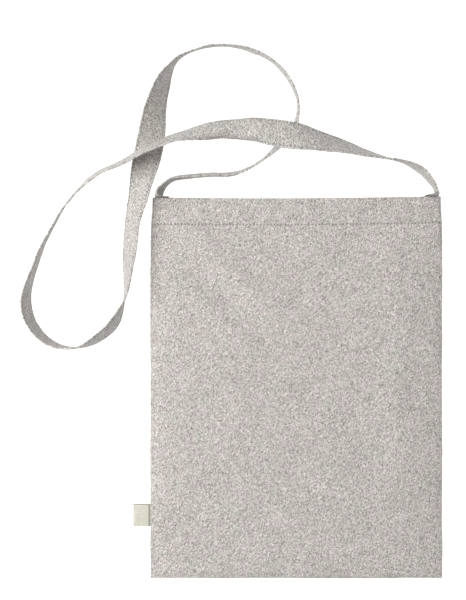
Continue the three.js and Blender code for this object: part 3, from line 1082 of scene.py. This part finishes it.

# %% [markdown]
# ## Cotton
#
# The cloth is a twill of flecked yarn: on its face lie short lengths of yarn in slanting rows,
# and every length has its own shade between grey and cream. An image of cloth would be quick,
# but it repeats. Here the flat cloth is cut into slanting rows, each row into lengths, and each
# length draws its own shade. Slow pink and green drifts, and a rounded height for the bump,
# finish it. The strap's drifts are a little darker and greener than the panels'. The needle
# holes beside the stitches are dark dots on the same flat cloth, dented by the bump: the dark
# is painted shade in the holes.

# %% Cotton finish
YARN = 0.56
FLOAT = 1.2
TWILL_HEADING = 58
TWILL_STAGGER = 0.37
SHADE_SHARE = 0.93
FLECK_SHARE = 0.37
CLOUD_SHARE = 0.12
SHADE_DROP = 0.21
CLOUD_SCALE = 28.0
FLECK_SCALE = 420.0
DRIFT_SCALE = 70.0
YARN_SHADES = (
    (0.0, (0.117, 0.109, 0.101)),
    (0.1, (0.270, 0.253, 0.241)),
    (0.5, (0.450, 0.427, 0.408)),
    (0.88, (0.648, 0.618, 0.593)),
    (1.0, (0.828, 0.800, 0.773)),
)
PANEL_DRIFTS = ((1.03, 0.99, 1.004, 1), (0.978, 1.004, 0.962, 1))
STRAP_DRIFTS = ((0.985, 0.965, 0.96, 1), (0.93, 0.962, 0.93, 1))
# Painted shade in the needle holes: its colour, and how far it darkens the cloth there.
HOLE_SHADE_COLOUR = (0.11, 0.105, 0.095, 1)
HOLE_RADIUS = 0.45
HOLE_FADE = 1.15
HOLE_SHADE_SHARE = 0.95
HOLE_DEPTH = 1.5
YARN_BUMP = (0.45, 0.35)
YARN_END = 0.4
END_POWER = 4
COTTON_ROUGH = 0.97
PALE_SMOOTHER = 0.12


def needle_holes(start, along, lines, pitch):
    """1 on a needle hole and 0 elsewhere. lines are wires of the distance from a stitch line."""
    beside = along / pitch
    from_hole = (beside - beside.floor() - 0.5) * pitch
    nearest = lines[0]
    for line in lines[1:]:
        nearest = start.math("MINIMUM", nearest, line)
    away = (from_hole * from_hole + nearest * nearest) ** 0.5
    fade = {"From Min": HOLE_RADIUS * MM, "From Max": HOLE_FADE * MM, "To Min": 1.0, "To Max": 0.0}
    return start.node("MapRange", {"interpolation_type": "SMOOTHSTEP"}, {"Value": away, **fade})


def cotton_finish(name, drifts, stitch_places, pitch):
    """Flecked twill. stitch_places tell where its stitch lines lie, along the flat map's V."""
    pink, green = drifts
    finish, shader, start = new_finish(name, 0.92)
    shader.inputs["Sheen Weight"].default_value = 0.12
    shader.inputs["Sheen Roughness"].default_value = 0.6
    cloth = start.node("UVMap", {"uv_map": CLOTH_MAP})
    across, down = (start.node("SeparateXYZ", {}, {0: cloth}, axis) for axis in (0, 1))
    heading = np.radians(TWILL_HEADING)
    row = (down * np.cos(heading) + across * np.sin(heading)) / (YARN * MM)
    row_number = row.floor()
    along = (across * np.cos(heading) - down * np.sin(heading)) / (FLOAT * MM)
    length = along + row_number * TWILL_STAGGER
    length_number = length.floor()
    cell = start.node("CombineXYZ", {}, {0: row_number, 1: length_number})
    shade = start.node("TexWhiteNoise", {"noise_dimensions": "2D"}, {"Vector": cell})
    cloud = start.node("TexNoise", {}, {"Vector": cloth, "Scale": CLOUD_SCALE, "Detail": 3.0})
    fleck = start.node("TexNoise", {}, {"Vector": cloth, "Scale": FLECK_SCALE, "Detail": 2.0})
    yarn = shade * SHADE_SHARE + fleck * FLECK_SHARE + cloud * CLOUD_SHARE - SHADE_DROP
    colour = start.node("ValToRGB", {"stops": YARN_SHADES}, {"Fac": yarn})
    drift = start.node("TexNoise", {}, {"Vector": cloth, "Scale": DRIFT_SCALE, "Detail": 1.0})
    drift_share = start.node("MapRange", {}, {"Value": drift, "From Min": 0.35, "From Max": 0.65})
    tint = mixed(start, drift_share, pink, green)
    tinted = mixed(start, 1.0, colour, tint, "MULTIPLY")
    lines = [start.math("ABSOLUTE", down - place * MM) for place in stitch_places]
    holes = needle_holes(start, across, lines, pitch * MM)
    # Painted shade: the cloth is darkened towards a near-black on each needle hole.
    hole_shaded = mixed(start, holes * HOLE_SHADE_SHARE, tinted, HOLE_SHADE_COLOUR)
    hole_shaded.feeds(shader.inputs["Base Color"])
    (COTTON_ROUGH - shade * PALE_SMOOTHER).feeds(shader.inputs["Roughness"])
    row_share, length_share = row - row_number, length - length_number
    rounded = row_share * (1 - row_share) * 4
    ends = 1 - (length_share * 2 - 1) ** END_POWER
    height = rounded * (YARN_END + ends * (1 - YARN_END)) - holes * HOLE_DEPTH
    add_bump(shader, start, height, YARN_BUMP)
    return finish


panel_cotton = cotton_finish("panel_cotton", PANEL_DRIFTS, (STITCH_LINE,), HEM_PITCH)
strap_line = STRAP_WIDTH / 2 - EDGE_STITCH
strap_cotton = cotton_finish("strap_cotton", STRAP_DRIFTS, (-strap_line, strap_line), STRAP_PITCH)
print("finishes:", panel_cotton.name, strap_cotton.name)

# %% [markdown]
# ## Tape and thread
#
# The label's tape is woven much finer than the bag, in ribs across its length, with a dark line
# along its upper edge and painted shade where it goes into the seam. The thread is matched to
# the cloth, a little darker, and shows a slanting twist whose grooves are painted darker and
# whose crests paler, as painted shade and painted light.

# %% Tape and thread finishes
TAPE_PALE = (0.59, 0.575, 0.49, 1)
TAPE_SHADE = (0.485, 0.47, 0.395, 1)
# Colour of the dark line along the upper edge and of the painted shade at the seam.
LINE_AND_SEAM_SHADE = (0.2, 0.2, 0.16, 1)
TAPE_RIB = 0.7
TAPE_WEFT = 0.5
TAPE_CLOUD = 500.0
RIB_SHARE = 0.06
WEFT_SHARE = 0.5
LINE_AND_SEAM_SHADE_SHARE = 0.8
TAPE_BUMP = (0.3, 0.1)
TAPE_ROUGH = 0.75
CLOUD_ROUGHER = 0.15
EDGE_DARK = 0.7
EDGE_PALE = 1.1
LABEL_SEAM = -151.8
OBJECT_PLACE = 3


def tape_finish(name):
    """Finely woven tape with a dark line along its upper edge and painted shade at the seam."""
    finish, shader, start = new_finish(name, 0.8)
    place = start.node("TexCoord", {}, {}, OBJECT_PLACE)
    x, y = (start.node("SeparateXYZ", {}, {0: place}, axis) for axis in (0, 1))
    ribs = start.math("SINE", x * (2 * np.pi / (TAPE_RIB * MM)))
    wefts = start.math("SINE", y * (2 * np.pi / (TAPE_WEFT * MM)))
    cloud = start.node("TexNoise", {}, {"Vector": place, "Scale": TAPE_CLOUD, "Detail": 2.0})
    ribbed = cloud + ribs * RIB_SHARE
    share = start.node("MapRange", {}, {"Value": ribbed, "From Min": 0.35, "From Max": 0.7})
    woven = mixed(start, share, TAPE_PALE, TAPE_SHADE)
    # Painted shade where the tape goes into the seam, joined to the dark line along its upper edge.
    from_edge = start.math("ABSOLUTE", LABEL_HIGH * MM - y)
    from_seam = start.math("ABSOLUTE", x - LABEL_SEAM * MM)
    from_line = start.math("MINIMUM", from_edge, from_seam)
    fade = {"From Min": EDGE_DARK * MM, "From Max": EDGE_PALE * MM, "To Min": 1.0, "To Max": 0.0}
    edge = start.node("MapRange", {}, {"Value": from_line, **fade})
    with_line_and_seam_shade = mixed(start, edge * LINE_AND_SEAM_SHADE_SHARE, woven, LINE_AND_SEAM_SHADE)
    with_line_and_seam_shade.feeds(shader.inputs["Base Color"])
    (TAPE_ROUGH + cloud * CLOUD_ROUGHER).feeds(shader.inputs["Roughness"])
    add_bump(shader, start, ribs + wefts * WEFT_SHARE, TAPE_BUMP)
    return finish


# The twist's grooves are painted darker and its crests paler: painted shade and painted light that
# follow the bump.
THREAD_CREST_LIGHT = (0.47, 0.45, 0.42, 1)
THREAD_GROOVE_SHADE = (0.34, 0.325, 0.30, 1)
THREAD_TWIST = 0.6
THREAD_BUMP = (0.4, 0.05)


def thread_finish(name):
    finish, shader, start = new_finish(name, 0.75)
    place = start.node("TexCoord", {}, {}, OBJECT_PLACE)
    x, y, z = (start.node("SeparateXYZ", {}, {0: place}, axis) for axis in range(3))
    twist = start.math("SINE", (x + y + z) * (2 * np.pi / (THREAD_TWIST * MM)))
    share = twist * 0.5 + 0.5
    # Painted shade in the grooves of the twist, and painted light on its crests.
    mixed(start, share, THREAD_GROOVE_SHADE, THREAD_CREST_LIGHT).feeds(shader.inputs["Base Color"])
    add_bump(shader, start, twist, THREAD_BUMP)
    return finish


label_tape = tape_finish("woven_tape")
cotton_thread = thread_finish("cotton_thread")
print("finishes:", label_tape.name, cotton_thread.name)

# %% [markdown]
# ## Dressing the pieces
#
# Every piece rides on the one body of the bag and gets its finish. Each sheet of cloth
# stands for its solid, which is then hidden.

# %% Dress the pieces
FINISHES = {
    front_panel: (panel_cotton, "cotton"),
    back_panel: (panel_cotton, "cotton"),
    strap: (strap_cotton, "cotton"),
    label: (label_tape, "label_tape"),
    front_hem_stitches: (cotton_thread, "cotton"),
    back_hem_stitches: (cotton_thread, "cotton"),
    strap_stitches: (cotton_thread, "cotton"),
}
for piece, (finish, slot) in FINISHES.items():
    piece.data.materials.clear()
    piece.data.materials.append(finish)
    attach(piece, "root")

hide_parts("front_panel")
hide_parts("back_panel")
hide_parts("shoulder_strap")
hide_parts("side_label")

strap_middle_line = sum(face[:, len(PLACES) // 2] for face in strap_faces) / 2

# %% [markdown]
# ## Floor and light
#
# The bag lies on a plain white table under a wide soft light from the left, with even light
# from all round. The table is bright enough to burn out to white, as on a light table.

# %% Floor
FLOOR_SIZE = 8
FLOOR_DROP = 0.0004
TABLE_GREY = (0.3, 0.3, 0.3, 1)
WHITE = (1, 1, 1, 1)

bpy.ops.object.select_all(action="DESELECT")
bpy.ops.mesh.primitive_plane_add(size=FLOOR_SIZE, location=(0, 0, -FLOOR_DROP))
floor = bpy.context.object
floor.name = "floor"
table_white = bpy.data.materials.new("table_white")
table_white.use_nodes = True
table_shader = table_white.node_tree.nodes["Principled BSDF"]
table_shader.inputs["Base Color"].default_value = TABLE_GREY
table_shader.inputs["Roughness"].default_value = 0.9
table_shader.inputs["Emission Color"].default_value = WHITE
table_shader.inputs["Emission Strength"].default_value = 1.0
floor.data.materials.append(table_white)
print("floor size in metres:", FLOOR_SIZE)

# %% Light
LAMP_PLACE = (-1.348, 0.336, 1.439)
LAMP_SIZE = 1.2
LAMP_POWER = 39
SKY_STRENGTH = 0.6

lamp_data = bpy.data.lights.new("lamp", "AREA")
lamp_data.size = LAMP_SIZE
lamp_data.energy = LAMP_POWER
lamp = bpy.data.objects.new("lamp", lamp_data)
lamp.location = LAMP_PLACE
lamp.rotation_euler = (-lamp.location).to_track_quat("-Z", "Y").to_euler()
bpy.context.collection.objects.link(lamp)
sky = bpy.data.worlds.new("sky")
sky.use_nodes = True
sky.node_tree.nodes["Background"].inputs["Color"].default_value = WHITE
sky.node_tree.nodes["Background"].inputs["Strength"].default_value = SKY_STRENGTH
bpy.context.scene.world = sky
bpy.context.scene.view_settings.view_transform = "Standard"
print("lamp power in watts:", LAMP_POWER)
